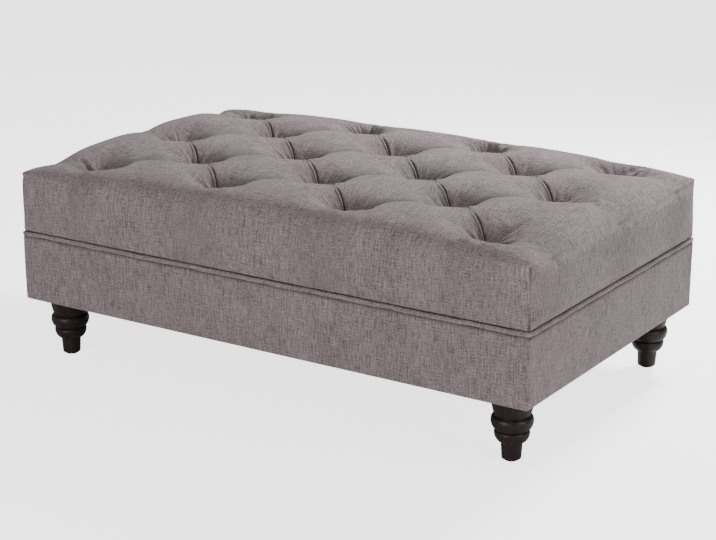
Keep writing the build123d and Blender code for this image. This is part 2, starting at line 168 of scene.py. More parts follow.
# %% Floor
floor_half, paper_glow = 30.0, 2.5
paper_look = {"Base Color": (0.90, 0.90, 0.90, 1), "Roughness": 0.9, "Specular IOR Level": 0.0}
floor_points = floor_half * np.array([(-1, -1, 0), (1, -1, 0), (1, 1, 0), (-1, 1, 0)])
floor_mesh = bpy.data.meshes.new("floor")
floor_mesh.from_pydata(floor_points.tolist(), [], [(0, 1, 2, 3)])
floor = bpy.data.objects.new("floor", floor_mesh)
bpy.context.scene.collection.objects.link(floor)
floor_finish = bpy.data.materials.new("floor_paper")
floor_finish.use_nodes = True
paper = floor_finish.node_tree
camera_only = add_node(paper, "ShaderNodeLightPath").outputs["Is Camera Ray"]
glow = math(paper, "MULTIPLY", camera_only, paper_glow)
paper_look |= {"Emission Color": (1, 1, 1, 1), "Emission Strength": glow}
feed(paper.nodes["Principled BSDF"], paper_look)
floor.data.materials.append(floor_finish)


# %% Lamps
def add_lamp(name, place, target, size, power):
    """A square soft lamp of a size in metres and a power in watts, turned from its place to a target."""
    lamp_data = bpy.data.lights.new(name, "AREA")
    lamp_data.size = size
    lamp_data.energy = power
    lamp = bpy.data.objects.new(name, lamp_data)
    back = np.subtract(place, target)
    side = np.cross((0, 0, 1), back)
    axes = [axis / np.linalg.norm(axis) for axis in (side, np.cross(back, side), back)]
    lamp.matrix_world = Matrix.Translation(place) @ Matrix(np.array(axes).T.tolist()).to_4x4()
    lamp.visible_camera = False
    bpy.context.scene.collection.objects.link(lamp)


table_middle, world_light = (0, 0, 0.25), 0.27
add_lamp("key_lamp", (3.0, -0.6, 1.1), table_middle, 1.2, 37)
add_lamp("top_lamp", (0.5, 1.8, 1.7), table_middle, 0.5, 101)
add_lamp("front_lamp", (-0.3, -3.7, 0.75), table_middle, 1.4, 73)

world = bpy.data.worlds.new("studio")
world.use_nodes = True
feed(world.node_tree.nodes["Background"], {"Color": (1, 1, 1, 1), "Strength": world_light})
bpy.context.scene.world = world

# %% [markdown]
# ## The tufting
# Eighteen buttons are pulled down in a staggered pattern, and the slack cloth between them folds into
# pleats that run from button to button. Between the pleats stand plump diamond pads. Such a top could be
# sculpted by hand, but the pattern repeats, so its height is a formula of the place in whole steps of the
# pattern, and the same formula gives the creases, whatever the size of the table.

# %% Sizes of the cushion
_, cover_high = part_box("top_cover")
_, buttons_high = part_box("tuft_buttons")
cord_low, cord_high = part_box("welt_cord")
half_length, half_width = cover_high.x, cover_high.y
button_radius = 0.010
last_column, last_row = 3, 2
column_step = (buttons_high.x - button_radius) / last_column
row_step = (buttons_high.y - button_radius) / last_row
end_margin = half_length - last_column * column_step
side_margin = half_width - last_row * row_step
welt_height = (cord_low.z + cord_high.z) / 2
welt_radius, welt_gap = 0.0047, 0.0044
cushion_foot = welt_height + welt_radius + welt_gap
shoulder = 0.398
crown_rise, corner_rise = 0.039, 0.005
corner_radius, seam_radius = 0.005, 0.004
print("steps of the tufting", round(column_step, 4), round(row_step, 4))

# %% Depths of the tufting
bowl_depth, bowl_steepness = 0.0388, 1.6
pleat_depth, pleat_fullness = np.array([0.003, 0.006])[:, None, None], 2.2
valley_depth, valley_sharpness = np.array([0.0012, 0.0080])[:, None, None], 10
lost_in_bowl = 0.85
end_valley_share, side_valley_share = 0.25, 0.08
end_fade_share, side_fade_share = 0.80, 0.75
pleat_gap = 1 / np.hypot(1 / column_step, 1 / row_step)


def crown(x, y):
    """Rise of the crown over the shoulder: full along both middle lines and lower towards the four corners,
    by the cube of the share of the length times the square of the share of the width."""
    share = np.clip(np.abs(x / half_length) ** 3 * np.abs(y / half_width) ** 2, 0, 1)
    return crown_rise - (crown_rise - corner_rise) * share


def pleats(column, row):
    """Closeness to each family of diagonal pleats, one on the line and zero in the middle of a pad, and the
    signed distance from each line in metres."""
    turns = np.stack([column + row, column - row]) / 2
    off_line = turns - np.floor(turns) - 0.5
    return 1 - 2 * np.abs(off_line), 2 * off_line * pleat_gap


def ridge(distance, width):
    """One on a line, falling away on both sides within a width, like a bell."""
    return np.exp(-((distance / width) ** 2))


def ramp(value, start, width):
    """Zero up to a start, one from a width past it, and a straight line between."""
    return np.clip((value - start) / width, 0, 1)


def fade(past, share):
    """One at the outer buttons, falling like a cosine to a share that is left at the edge."""
    return share + (1 - share) * np.cos(np.pi / 2 * np.clip(past, 0, 1)) ** 2


# %% Folds on the pleats
crease_depth, crease_width, pair_width = 0.0042, 0.0015, 0.0012
least_line = 0.55
fold_spread, fold_draw, fold_bend = 0.0085, 0.75, 0.004
fold_begins, fold_strengths = 0.25, (0.5, 1.2)
between_rise, between_width = 0.4, 0.00255
button_gap = 0.04


def tuft_depth(x, y, column, row):
    """Depth under the crown, and the strength of the folds, which also sets the shade painted on them.
    Each button sits in a round bowl: the product of two squared sines, one for the closeness to each family
    of pleats. A shallow pleat is added along every line from button to button. On it lie the folds: one
    sharp line on the family that runs to the right, and two on the other, which draw together towards the
    button."""
    past_end = ramp(np.abs(x), last_column * column_step, end_margin)
    past_side = ramp(np.abs(y), last_row * row_step, side_margin)
    near, off = pleats(column, row)
    bowl = np.prod(np.sin(np.pi / 2 * near) ** 2, axis=0) ** bowl_steepness
    pleat = pleat_depth * near**pleat_fullness + valley_depth * near**valley_sharpness
    depth = bowl_depth * bowl + np.sum(pleat, axis=0) * (1 - lost_in_bowl * bowl)
    on_pad = ((1 - past_end) * (1 - past_side)) ** 2 * (1 - ridge(1 - np.min(near, axis=0), button_gap))
    to_button = 1 - (1 - near[0]) ** 2
    fold = ridge(off[1], crease_width) * (least_line + (1 - least_line) * to_button)
    spread = fold_spread * (1 - fold_draw * near[1] ** 2)
    middle = off[0] - fold_bend * 4 * near[1] * (1 - near[1])
    shown = ramp(near[1], 0, fold_begins) ** 2
    for side, strength in zip((-0.5, 0.5), fold_strengths):
        fold = fold + strength * ridge(middle - side * spread, pair_width) * shown
    between = between_rise * ridge(off[0], between_width) * shown
    depth = depth + crease_depth * (fold - between) * on_pad
    kept = fade(past_end / end_fade_share, end_valley_share)
    kept = kept * fade(past_side / side_fade_share, side_valley_share)
    return depth * kept, fold * on_pad * kept


# %% Wrinkles round the buttons
wrinkle_depth, wrinkle_reach, wrinkle_width = 0.0007, 0.036, 0.0216
fine_waves, patches, broad_waves = 19, 3, 13
random = np.random.default_rng(7)
wrinkle_phases = random.uniform(0, 2 * np.pi, (4 * last_column * last_row, 4))
steps_across, steps_along = range(-last_row, last_row + 1), range(-last_column, last_column + 1)
button_steps = [(column, row) for row in steps_across for column in steps_along if (column + row) % 2]
print("buttons", len(button_steps))


def wrinkles(x, y):
    """Fine folds that fan out from each button: waves round the button, strongest a few centimetres out."""
    total = np.zeros_like(x)
    for (column, row), phase in zip(button_steps, wrinkle_phases):
        east, north = x - column * column_step, y - row * row_step
        angle = np.arctan2(north, east)
        waves = np.cos(fine_waves * angle + phase[1]) * np.cos(patches * angle + phase[2])
        waves += np.cos(broad_waves * angle + phase[0])
        total += waves * ridge(np.hypot(east, north) - wrinkle_reach, wrinkle_width)
    return wrinkle_depth * total


# %% [markdown]
# ## The cushion's surface
# The cloth goes over the edge without a seam and down to the piping, with one upright seam at each corner.
# A rounded box that is cut into tufts would lose the even grid that the pleats need. So the top is a grid
# whose lines pass through the buttons and whose diagonals lie on the pleats, and the sides hang from its
# rim as rings of points.

# %% Lines of the grid
lines_per_step, end_lines, side_lines, wall_rows = 40, 48, 36, 32
crowding, edge_crowding = 0.6, 0.25


def grid_lines(last, margin_lines):
    """Places of the grid's lines in steps of the pattern: even between the buttons, and on past the last
    one, where one more step is the way to the shoulder, with the lines closer towards the edge."""
    inner = np.arange(last * lines_per_step) / lines_per_step
    share = np.linspace(0, 1, margin_lines + 1)
    outer = last + share * (1 + edge_crowding - edge_crowding * share)
    half = np.concatenate([inner, outer])
    return np.concatenate([-half[:0:-1], half])


def closer_to_pleats(column, row):
    """Moves the inner lines towards the pleats, where the folds need them: each diagonal count t becomes t
    plus a sine of half a turn per step, which leaves every whole step where it is."""
    rising, falling = column + row, column - row
    rising = rising + crowding / np.pi * np.sin(np.pi * rising)
    falling = falling + crowding / np.pi * np.sin(np.pi * falling)
    return (rising + falling) / 2, (rising - falling) / 2


def over_edge(line, step, last, margin, reach):
    """Place and lift of points along a path that runs level to within a reach of the edge, and then down a
    quarter round. The lift is one on the level part and zero at the shoulder."""
    past = ramp(np.abs(line), last, 1)
    way = past * (margin - reach + reach * np.pi / 2)
    turn = np.clip((way - margin + reach) / reach, 0, np.pi / 2)
    place = np.minimum(np.abs(line), last) * step + np.minimum(way, margin - reach) + reach * np.sin(turn)
    return np.sign(line) * place, np.cos(turn)


def round_corners(x, y, length, width, radius):
    """Presses the square corners of a rectangle into round ones: a point in a corner's square moves to the
    quarter disc by the rule u times the root of one less half of v squared, and the same for v."""
    u = np.clip((np.abs(x) - length + radius) / radius, 0, 1)
    v = np.clip((np.abs(y) - width + radius) / radius, 0, 1)
    within_x, within_y = np.minimum(np.abs(x), length - radius), np.minimum(np.abs(y), width - radius)
    return (
        np.sign(x) * (within_x + radius * u * np.sqrt(1 - v**2 / 2)),
        np.sign(y) * (within_y + radius * v * np.sqrt(1 - u**2 / 2)),
    )


# %% Top of the cushion
wider_reach = 0.018


def edge_reach(rise, along, half, power):
    """How far from the edge the cloth starts to turn down: the crown's rise, and somewhat more away from
    the corners, by one less a power of the share of the half side."""
    return rise + wider_reach * (1 - np.clip(np.abs(along) / half, 0, 1) ** power)


column_line, row_line = np.meshgrid(
    grid_lines(last_column, end_lines), grid_lines(last_row, side_lines), indexing="ij"
)
inner_column = np.clip(column_line, -last_column, last_column)
inner_row = np.clip(row_line, -last_row, last_row)
column, row = closer_to_pleats(inner_column, inner_row)
rough_x = column * column_step + (column_line - inner_column) * end_margin
rough_y = row * row_step + (row_line - inner_row) * side_margin
column_place, row_place = column + column_line - inner_column, row + row_line - inner_row
end_reach = edge_reach(crown(half_length, rough_y), rough_y, half_width, 6)
side_reach = edge_reach(crown(rough_x, half_width), rough_x, half_length, 8)
top_x, lift_x = over_edge(column_place, column_step, last_column, end_margin, end_reach)
top_y, lift_y = over_edge(row_place, row_step, last_row, side_margin, side_reach)
sunk, top_painted_shade = tuft_depth(top_x, top_y, column, row)
relief = crown(top_x, top_y) - sunk + wrinkles(top_x, top_y)
top_z = shoulder + relief * lift_x * lift_y
top_x, top_y = round_corners(top_x, top_y, half_length, half_width, corner_radius)
top_points = np.stack([top_x, top_y, top_z], axis=-1)
column_count, row_count = column_line.shape
print("top grid", column_count, row_count)

# %% Rim of the cushion
number = np.arange(column_count * row_count).reshape(column_count, row_count)
rim_numbers = np.concatenate([number[:-1, 0], number[-1, :-1], number[:0:-1, -1], number[0, :0:-1]])
rim = top_points.reshape(-1, 3)[rim_numbers]
way_on = np.roll(rim, -1, axis=0) - np.roll(rim, 1, axis=0)
outward = np.stack([way_on[:, 1], -way_on[:, 0]], axis=-1)
outward /= np.linalg.norm(outward, axis=1, keepdims=True)
rim_way = np.cumsum(np.linalg.norm(rim - np.roll(rim, 1, axis=0), axis=1))
rim_count = len(rim)
print("rim", rim_count, "points", round(float(rim_way[-1]), 3), "m round")

# %% Walls of the cushion
belly, flare, button_pull = 0.0012, 0.0006, 0.002
seam_depth, seam_width, ripple_depth = 0.0028, 0.0013, 0.0004
stiff_corner, button_spread, seam_place, seam_least = 0.05, 0.02, 0.58, 0.6
side_buttons, end_buttons = (1, 3), (0, 2)


def ripples(share, counts, lean=0.0, most_slant=None):
    """A sum of cosines over a share of the way, each with a count of waves and a random start. Each slants
    by the lean, and where a most slant is given, by a random amount times the lean."""
    starts = random.uniform(0, 6, len(counts))
    slants = np.ones(len(counts))
    if most_slant is not None:
        slants = random.uniform(-most_slant, most_slant, len(counts))
    waves = zip(counts, starts, slants)
    return sum(np.cos(2 * np.pi * count * share + start + slant * lean) for count, start, slant in waves)


down = np.linspace(0, 1, wall_rows + 1)[1:, None]
rim_x, rim_y = np.abs(rim[:, 0]), np.abs(rim[:, 1])
held_straight = ridge(np.hypot(half_length - rim_x, half_width - rim_y), stiff_corner)
wall_out = belly * np.sin(np.pi * down**1.3) ** 0.8 * (1 - held_straight) + flare * down
on_side, on_end = rim_y > half_width - corner_radius, rim_x > half_length - corner_radius
at_button = sum(ridge(rim_x - place * column_step, button_spread) for place in side_buttons) * on_side
at_end_button = sum(ridge(rim_y - place * row_step, button_spread) for place in end_buttons) * on_end
wall_out = wall_out - button_pull * (at_button + at_end_button) * (1 - down) ** 2
ripple = ripples(rim_way / rim_way[-1], (7, 13, 19, 29), down, 4)
wall_out = wall_out + ripple_depth * ripple * np.sin(np.pi * down)
from_square = rim_x.max() - rim_x + rim_y.max() - rim_y
at_corner = ridge(from_square - seam_place * corner_radius, seam_width)
wall_out = wall_out - seam_depth * at_corner * (seam_least + (1 - seam_least) * np.abs(2 * down - 1))
wall_z = np.broadcast_to(shoulder - (shoulder - cushion_foot) * down, wall_out.shape)
wall = np.dstack([rim[:, :2] + outward * wall_out[..., None], wall_z])

# %% Tuck over the piping
tuck_reach, tuck_drop = 0.0075, 0.0030
tuck_end_in, tuck_end_down = 0.0085, 0.0084
tuck_turn = np.linspace(0, np.pi / 2, 6)[1:, None]
tuck_in = np.vstack([tuck_reach * (1 - np.cos(tuck_turn)), [[tuck_end_in]]])
tuck_down = np.vstack([tuck_drop * np.sin(tuck_turn), [[tuck_end_down]]])
tuck = np.dstack([wall[-1, :, :2] - outward * tuck_in[..., None], wall[-1, :, 2] - tuck_down])


# %% Cloth coordinates of the cushion
def quads_between(rings, onward):
    """What belongs to the corners of the quads between rings of points, from what belongs to each point and
    to the next one round the ring."""
    return np.stack([rings[:-1], rings[1:], onward[1:], onward[:-1]], axis=2)


# Distances along the cloth are sums of the steps between neighbouring points, so that the weave isn't
# stretched where the cloth dips or turns down. The walls go on from the rim, each straight down.
step_x = np.linalg.norm(np.diff(top_points, axis=0), axis=-1).mean(axis=1)
step_y = np.linalg.norm(np.diff(top_points, axis=1), axis=-1).mean(axis=0)
cloth_x = np.concatenate([[0], np.cumsum(step_x)]) - step_x.sum() / 2
cloth_y = np.concatenate([[0], np.cumsum(step_y)]) - step_y.sum() / 2
top_uv = np.stack(np.meshgrid(cloth_x, cloth_y, indexing="ij"), axis=-1).reshape(-1, 2)
side_counts = [column_count - 1, row_count - 1, column_count - 1, row_count - 1]
side_ways = np.repeat([[0, -1], [1, 0], [0, 1], [-1, 0]], side_counts, axis=0)
drops = shoulder - np.concatenate([[shoulder], wall_z[:, 0], wall_z[-1, 0] - tuck_in[:, 0]])
rim_uv, moved_down = top_uv[rim_numbers], side_ways * drops[:, None, None]
wall_uv = quads_between(rim_uv + moved_down, np.roll(rim_uv, -1, axis=0) + moved_down).reshape(-1, 2)
top_upright = np.clip(lift_x**2 - lift_y**2, -1, 1)
rim_upright = np.repeat([1.0, -1.0, 1.0, -1.0], side_counts)

# %% Faces of the cushion
# Each square of the top is cut along the diagonal that lies on its pleat, so that no edge bridges a fold.
top_count = column_count * row_count
ring_numbers = top_count + np.arange((wall_rows + len(tuck_in)) * rim_count).reshape(-1, rim_count)
ring_numbers = np.vstack([rim_numbers, ring_numbers])
wall_quads = quads_between(ring_numbers, np.roll(ring_numbers, -1, axis=1)).reshape(-1, 4)

square = quads_between(number[:, :-1], number[:, 1:])
middle_column = (column_line[:-1, :-1] + column_line[1:, 1:]) / 2
middle_row = (row_line[:-1, :-1] + row_line[1:, 1:]) / 2
near, _ = pleats(middle_column, middle_row)
falls = (near[0] > near[1])[..., None]
first = np.where(falls, square[..., [0, 1, 3]], square[..., [0, 1, 2]])
second = np.where(falls, square[..., [1, 2, 3]], square[..., [0, 2, 3]])
top_triangles = np.concatenate([first.reshape(-1, 3), second.reshape(-1, 3)])
cushion_points = np.concatenate([top_points.reshape(-1, 3), wall.reshape(-1, 3), tuck.reshape(-1, 3)])
cushion_faces = top_triangles.tolist() + wall_quads.tolist() + [ring_numbers[-1][::-1].tolist()]
bottom_uv = cushion_points[ring_numbers[-1][::-1], :2]
cushion_uv = np.concatenate([top_uv[top_triangles.ravel()], wall_uv, bottom_uv])
ring_upright = np.tile(rim_upright, wall_rows + len(tuck_in))
cushion_upright = np.concatenate([top_upright.ravel(), ring_upright])

# %% [markdown]
# ## Stuffing that presses the cloth out
# A formula makes every pad swell by the same rule. On the real table the stuffing presses the cloth out
# wherever it isn't held. Sculpting could imitate that, but Blender's Cloth works it out. The whole fine
# sheet would take minutes and blur the folds, so the simulation runs on every fourth line, held at the
# buttons, on the pleats, at the corner seams and at the piping. Only its movement is carried over to the
# fine sheet.

# %% Coarse sheet
coarse_step = 4
held_above, held_near_button = 0.97, 0.72
kept_top = number[::coarse_step, ::coarse_step]
kept_rings = ring_numbers[: wall_rows + 1 : coarse_step, ::coarse_step]
kept = np.concatenate([kept_top.ravel(), kept_rings[1:].ravel()])
coarse_number = np.zeros(len(cushion_points), int)
coarse_number[kept] = np.arange(len(kept))
coarse_rings = coarse_number[kept_rings]
coarse_walls = quads_between(coarse_rings, np.roll(coarse_rings, -1, axis=1)).reshape(-1, 4)
coarse_faces = np.concatenate([grid_faces(*kept_top.shape)[:, ::-1], coarse_walls])

line_near, _ = pleats(column, row)
on_line = (line_near[1] > held_above) | (line_near.min(axis=0) > held_near_button)
on_line &= (np.abs(column_line) <= last_column) & (np.abs(row_line) <= last_row)
ring_held = np.zeros(kept_rings.shape, bool)
ring_held[-1] = True
ring_held[:, np.cumsum([0, *side_counts[:3]]) // coarse_step] = True
held = np.concatenate([on_line[::coarse_step, ::coarse_step].ravel(), ring_held[1:].ravel()])
print("coarse sheet", len(kept), "points", int(held.sum()), "held")


# %% Cloth simulation
def press_out(points, faces, held_points, pressure, last_frame):
    """Runs Blender's Cloth on a sheet with pressure from inside and no gravity, and gives how far each
    point has moved. The sheet is removed again."""
    mesh = bpy.data.meshes.new("stuffed_sheet")
    mesh.from_pydata(points.tolist(), [], faces.tolist())
    sheet = bpy.data.objects.new("stuffed_sheet", mesh)
    bpy.context.scene.collection.objects.link(sheet)
    sheet.vertex_groups.new(name="held").add(np.flatnonzero(held_points).tolist(), 1.0, "REPLACE")
    cloth = sheet.modifiers.new("stuffing", "CLOTH")
    cloth.settings.vertex_group_mass = "held"
    cloth.settings.use_pressure = True
    cloth.settings.uniform_pressure_force = pressure
    cloth.settings.effector_weights.gravity = 0
    cloth.collision_settings.use_collision = False
    cloth.point_cache.frame_end = last_frame
    for number_of_frame in range(1, last_frame + 1):
        bpy.context.scene.frame_set(number_of_frame)
    pressed = sheet.evaluated_get(bpy.context.evaluated_depsgraph_get()).data
    places = np.empty(3 * len(points), np.float32)
    pressed.vertices.foreach_get("co", places)
    bpy.context.scene.frame_set(1)
    bpy.data.objects.remove(sheet)
    bpy.data.meshes.remove(mesh)
    return places.reshape(-1, 3) - points


def cubic_shares(fine, coarse, around=False):
    """Shares of the coarse points in each fine point between them, by a cubic rule that passes through the
    coarse values without kinks."""
    apart = np.abs(np.arange(fine)[:, None] / coarse_step - np.arange(coarse))
    if around:
        apart = np.minimum(apart, coarse - apart)
    close, far = 1.5 * apart**3 - 2.5 * apart**2 + 1, -0.5 * apart**3 + 2.5 * apart**2 - 4 * apart + 2
    shares = np.where(apart < 1, close, np.where(apart < 2, far, 0))
    return shares / shares.sum(axis=1, keepdims=True)


# %% Swell of the cushion
stuffing_pressure, stuffing_frames, most_swell = 4.0, 20, 0.006
swell = press_out(cushion_points[kept], coarse_faces, held, stuffing_pressure, stuffing_frames)
swell_size = np.linalg.norm(swell, axis=1, keepdims=True)
print("free swell, mean and most", round(float(swell_size.mean()), 4), round(float(swell_size.max()), 4))
swell *= most_swell * np.tanh(swell_size / most_swell) / np.maximum(swell_size, 1e-9)
top_swell = swell[: kept_top.size].reshape(*kept_top.shape, 3)
ring_swell = swell[coarse_rings]
along_x, along_y = cubic_shares(column_count, len(kept_top)), cubic_shares(row_count, kept_top.shape[1])
along_rim = cubic_shares(rim_count, kept_rings.shape[1], around=True)
down_wall = cubic_shares(wall_rows + 1, len(kept_rings))
top_swell = np.einsum("ia,abk,jb->ijk", along_x, top_swell, along_y)
wall_swell = np.einsum("ia,abk,jb->ijk", down_wall, ring_swell, along_rim)[1:]
cushion_points[:top_count] += top_swell.reshape(-1, 3)
cushion_points[top_count : top_count + wall_rows * rim_count] += wall_swell.reshape(-1, 3)
most_top, most_wall = float(np.abs(top_swell).max()), float(np.abs(wall_swell).max())
print("swell kept, top and walls", round(most_top, 4), round(most_wall, 4))

# %% Tufted cushion
fan_reach, fan_fade = 0.075, 0.035
# Strengths of the shade painted at the corner seams and on the tuck.
seam_shade, tuck_shade = 0.85, 0.38


def from_buttons(x, y):
    """Offset of each place from the button that is nearest to it, among all the buttons, and a share that
    falls from one to zero at the reach of the fine folds."""
    buttons = np.multiply(button_steps, (column_step, row_step))
    offsets = np.stack([x.ravel(), y.ravel()], axis=-1)[:, None] - buttons
    away = np.linalg.norm(offsets, axis=2)
    nearest = np.arange(len(away)), away.argmin(axis=1)
    return np.column_stack([offsets[nearest], np.clip((fan_reach - away[nearest]) / fan_fade, 0, 1)])


cushion = add_piece("tufted_cushion", cushion_points, cushion_faces, "cover_fabric", cushion_uv)
add_values(cushion, "upright", cushion_upright)
# Painted shade, stored as fold: the top's creases, the corner seams, darkest towards the top and the bottom
# of the walls, and the tuck where the cloth turns in over the piping.
wall_painted_shade = seam_shade * at_corner * np.abs(2 * down - 1) ** 1.5
tuck_painted_shade = np.broadcast_to(tuck_shade * np.sin([*tuck_turn, [np.pi / 2]]) ** 4, tuck.shape[:2])
cushion_painted_shade = np.concatenate([top_painted_shade.ravel(), wall_painted_shade.ravel(), tuck_painted_shade.ravel()])
add_values(cushion, "fold", np.clip(cushion_painted_shade, 0, 1))
rest_of_points = len(cushion_points) - top_count
add_values(cushion, "from_button", np.pad(from_buttons(top_x, top_y), ((0, rest_of_points), (0, 0))))
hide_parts("top_cover", "wadding_layer", "foam_core")

# %% [markdown]
# ## The piping
# A cord inside a strip of cloth is sewn into the seam. A bevelled curve would do, but a profile carried
# along a path by arrays keeps the cloth's own coordinates, so the weave can run slantwise round the cord,
# as it does where the strip is cut on the bias.


# %% Path round the box
def box_path(length, width, radius, count):
    """Points evenly spaced by length round a rectangle with rounded corners, from the middle of the right
    end, anticlockwise, with the outward direction at each and the way to it. Straight runs and quarter
    turns are joined in order."""
    straight_x, straight_y, quarter = 2 * (length - radius), 2 * (width - radius), radius * np.pi / 2
    runs = [straight_y / 2, quarter, straight_x, quarter, straight_y]
    runs += [quarter, straight_x, quarter, straight_y / 2]
    starts = np.concatenate([[0], np.cumsum(runs)])
    way = np.linspace(0, starts[-1], count, endpoint=False)
    turned = sum(ramp(way, starts[run], quarter) for run in (1, 3, 5, 7)) * np.pi / 2
    out = np.stack([np.cos(turned), np.sin(turned)], axis=-1)
    moved = np.stack([-np.sin(turned), np.cos(turned)], axis=-1)
    halfway = (moved + np.roll(moved, -1, axis=0)) / 2 * starts[-1] / count
    place = np.array([length, 0]) + np.concatenate([[[0, 0]], np.cumsum(halfway[:-1], axis=0)])
    return place, out, way


# %% Piping
path_count, ring_count, welt_inset = 1400, 18, 0.0014
waver_thick, waver_high, waver_shift = 0.025, 0.0003, 90
# Strengths and places of the shade painted under the piping and, a little, on its top.
low_shade, low_start, low_width = 0.4, 0.55, 0.40
high_shade, high_start, high_width = 0.1, 0.75, 0.25


def past_seam(numbers, count):
    """In each face that crosses the seam of a closed surface, the numbers that began again at zero go on
    past the last one."""
    crosses = np.ptp(numbers, axis=1, keepdims=True) > 1
    return numbers + count * (crosses & (numbers == 0))


welt_place, welt_out, welt_way = box_path(
    half_length - welt_inset, half_width - welt_inset, seam_radius, path_count
)
turn = np.linspace(0, 2 * np.pi, ring_count, endpoint=False)
waver = ripples(welt_way / welt_way[-1], (11, 23, 41, 67))
thick = welt_radius * (1 + waver_thick * waver)[:, None]
welt_plan = welt_place[:, None] + welt_out[:, None] * (thick * np.cos(turn))[..., None]
welt_z = welt_height + waver_high * np.roll(waver, waver_shift)[:, None] + thick * np.sin(turn)
welt_points = np.dstack([welt_plan, welt_z])
welt_faces = grid_faces(path_count, ring_count, around=True, closed=True)[:, ::-1]
corner_along, corner_round = np.divmod(welt_faces, ring_count)
along_way = past_seam(corner_along, path_count) * welt_way[1]
round_way = past_seam(corner_round, ring_count) * 2 * np.pi * welt_radius / ring_count
welt_uv = np.stack([along_way + round_way, along_way - round_way], axis=-1) / np.sqrt(2)
welt = add_piece("welt_piping", welt_points, welt_faces, "welt_fabric", welt_uv)
# Painted shade, stored as fold: darker on the piping's underside and a little on its top.
welt_painted_shade = low_shade * ramp(-np.sin(turn), low_start, low_width)
welt_painted_shade += high_shade * ramp(np.sin(turn), high_start, high_width)
add_values(welt, "fold", np.tile(welt_painted_shade, path_count))
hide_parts("welt_cover")

# %% [markdown]
# ## The band
# Four panels of cloth are pulled over the box frame, sewn to each other at the corners and turned under. A
# panel is a strip whose section runs down the face, round the soft lower edge and back under the rail. The
# section is the same all along, and a little slack is added to it, so the cloth isn't as flat as board.

# %% Section of the band
sheet_top = 0.131
band_top = welt_height - welt_radius - 0.0004
roll_in, roll_down = 0.0055, 0.0030
band_draw, band_bend = 0.0005, 0.004
band_hang, hang_reach, turn_under = 0.0024, 0.006, 0.026


def band_section(count):
    """Inset and height of points down the band: a small roll at the top, a face that leans in by the draw,
    a quarter round at the bottom, which hangs a little low, and a strip that rises back under the rail."""
    roll = np.linspace(0, np.pi / 2, 7)
    bend = np.linspace(0, np.pi / 2, 8)[1:]
    face = np.linspace(0, 1, count)[1:]
    under = np.linspace(band_draw + band_bend, turn_under, 8)[1:]
    high, low = band_top - roll_down, sheet_top - band_hang + band_bend
    inset = [roll_in * (1 - np.sin(roll)), band_draw * face**1.6]
    inset += [band_draw + band_bend * (1 - np.cos(bend)), under]
    height = [band_top - roll_down * (1 - np.cos(roll)), high + (low - high) * face]
    height += [low - band_bend * np.sin(bend)]
    height += [sheet_top - band_hang * np.clip(1 - (under - band_bend) / hang_reach, 0, 1)]
    return np.concatenate(inset), np.concatenate(height)


section_inset, section_height = band_section(30)
section_way = np.concatenate([[0], np.cumsum(np.hypot(np.diff(section_inset), np.diff(section_height)))])
face_share = ramp(section_height, sheet_top, band_top - sheet_top)
print("way down the band", round(float(section_way[-1]), 4))


# %% Band panels
band_thickness, band_slack, face_lines = 0.0016, 0.0004, 160
# band_shade, roll_end, roll_fade and seam_from set the shade painted on the band.
corner_dip, corner_width, band_shade = 0.0014, 0.0020, 0.5
roll_end, roll_fade, seam_from = 0.0088, 0.003, 0.004
panel_sides = {"right_band": 0, "back_band": 1, "left_band": 2, "front_band": 3}


def thicken(piece, thickness):
    """Gives a single sheet its thickness, on the side that its faces turn away from."""
    solid = piece.modifiers.new("thickness", "SOLIDIFY")
    solid.thickness = thickness
    solid.offset = -1


def panel_line(wide, far):
    """Places across a panel and out from the middle of the box: a straight line with an eighth of a round
    at either end, where the panel meets its neighbour at the corner seam."""
    bend = np.linspace(np.pi / 4, 0, 7)
    half = wide - seam_radius
    straight = np.linspace(-half, half, face_lines)[1:-1]
    across = [-half - seam_radius * np.sin(bend), straight, half + seam_radius * np.sin(bend[::-1])]
    ahead = far - seam_radius + seam_radius * np.cos(bend)
    return np.concatenate(across), np.concatenate([ahead, np.full(len(straight), far), ahead[::-1]])


for name, quarter in panel_sides.items():
    far, wide = (half_length, half_width) if quarter % 2 == 0 else (half_width, half_length)
    across, ahead = (line[:, None] for line in panel_line(wide, far))
    slack = ripples(across / wide / 2, (2, 3.3, 5.1), section_height / band_top, 3)
    at_seam = ridge(wide - np.abs(across), corner_width)
    fall_in = section_inset + corner_dip * at_seam - band_slack * slack * np.sin(np.pi * face_share)
    mitre = np.sign(across) * np.minimum(np.abs(across), wide - fall_in)
    reach_out = ahead - fall_in
    cosine, sine = np.cos(quarter * np.pi / 2), np.sin(quarter * np.pi / 2)
    x, y = reach_out * cosine - mitre * sine, reach_out * sine + mitre * cosine
    points = np.dstack([x, y, np.broadcast_to(section_height, x.shape)])
    panel_faces = grid_faces(*x.shape)[:, ::-1]
    panel_uv = np.dstack(np.broadcast_arrays(across + quarter, -section_way))
    panel = add_piece(name + "_panel", points, panel_faces, "cover_fabric", panel_uv)
    add_values(panel, "upright", 1.0)
    # Painted shade, stored as fold: darker on the roll under the piping and along the corner seams.
    panel_painted_shade = np.clip((roll_end - section_way) / roll_fade, 0, 1) + at_seam * (section_way > seam_from)
    add_values(panel, "fold", np.clip(band_shade * panel_painted_shade, 0, 1).ravel())
    thicken(panel, band_thickness)
    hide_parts(name)

# %% [markdown]
# ## Wadding under the band and cloth under the frame
# Under the band a strip of soft wadding is wrapped round the frame, and black cloth is stapled under it to
# keep dust out. Both are single sheets, so each is one grid that a Solidify modifier makes as thick as it
# is. The black cloth sags between its staples. A cloth simulation would give that too, but a sag this small
# is a product of two waves.

